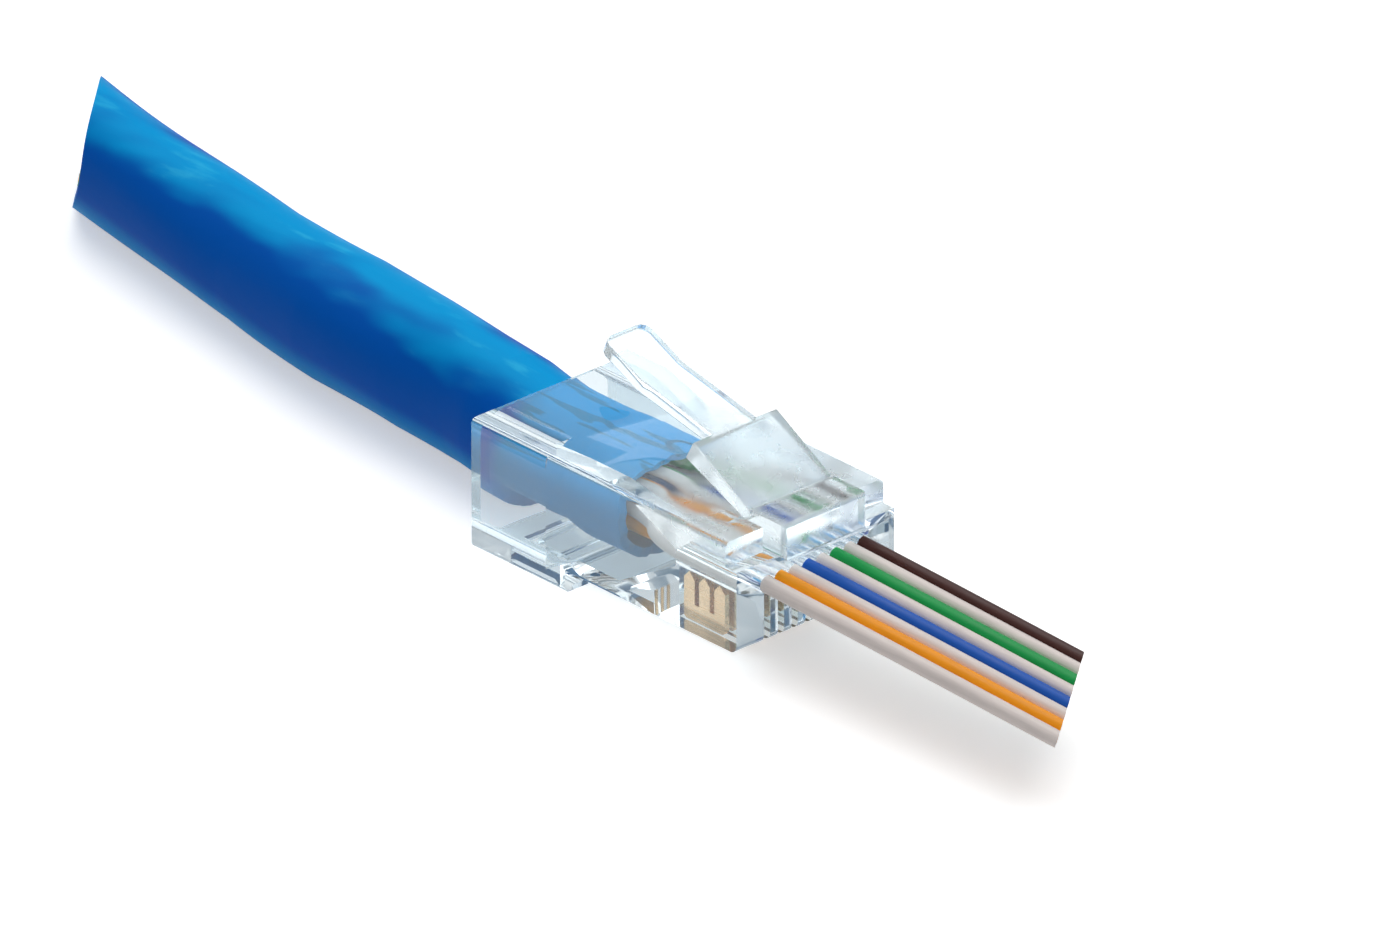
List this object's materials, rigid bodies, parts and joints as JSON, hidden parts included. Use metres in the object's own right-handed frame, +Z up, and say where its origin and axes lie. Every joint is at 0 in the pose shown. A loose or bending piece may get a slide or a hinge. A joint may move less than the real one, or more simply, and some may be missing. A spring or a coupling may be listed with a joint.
{
  "type": "modular plug",
  "caption": "Clear pass-through modular plug with a flexing latch and gold blade contacts, on the end of a twisted-pair cable whose coloured conductors run out at the nose",
  "frame": {"origin": "bottom centre of the plug itself, without its cable, on the underside of the rear block", "axes": "+X points to the nose, +Y across the contacts, +Z up, latch uppermost"},
  "size_m": [0.0958, 0.0175, 0.0136],
  "materials": {
    "clear_polycarbonate": "clear, glossy",
    "gold_contact": "gold plated, polished",
    "blue_jacket": "smooth PVC, slight sheen",
    "white_orange_wire": "insulation, white with an orange stripe",
    "orange_wire": "insulation",
    "white_green_wire": "insulation, white with a green stripe",
    "blue_wire": "insulation",
    "white_blue_wire": "insulation, white with a blue stripe",
    "green_wire": "insulation",
    "white_brown_wire": "insulation, white with a brown stripe",
    "brown_wire": "insulation"
  },
  "bodies": {
    "plug": {"plug_housing": "clear_polycarbonate", "contact_1": "gold_contact", "contact_2": "gold_contact", "contact_3": "gold_contact", "contact_4": "gold_contact", "contact_5": "gold_contact", "contact_6": "gold_contact", "contact_7": "gold_contact", "contact_8": "gold_contact", "cable_jacket": "blue_jacket", "wire_1_white_orange": "white_orange_wire", "wire_2_orange": "orange_wire", "wire_3_white_green": "white_green_wire", "wire_4_blue": "blue_wire", "wire_5_white_blue": "white_blue_wire", "wire_6_green": "green_wire", "wire_7_white_brown": "white_brown_wire", "wire_8_brown": "brown_wire"},
    "latch": {"latch_lever": "clear_polycarbonate"}
  },
  "joints": [
    {"name": "latch_press", "type": "hinge", "parent": "plug", "child": "latch", "pos_m": [0.00795, 0, 0.0083], "axis": [0, -1, 0], "range_deg": [0, 15], "stiffness_Nm_per_rad": 0.1}
  ]
}
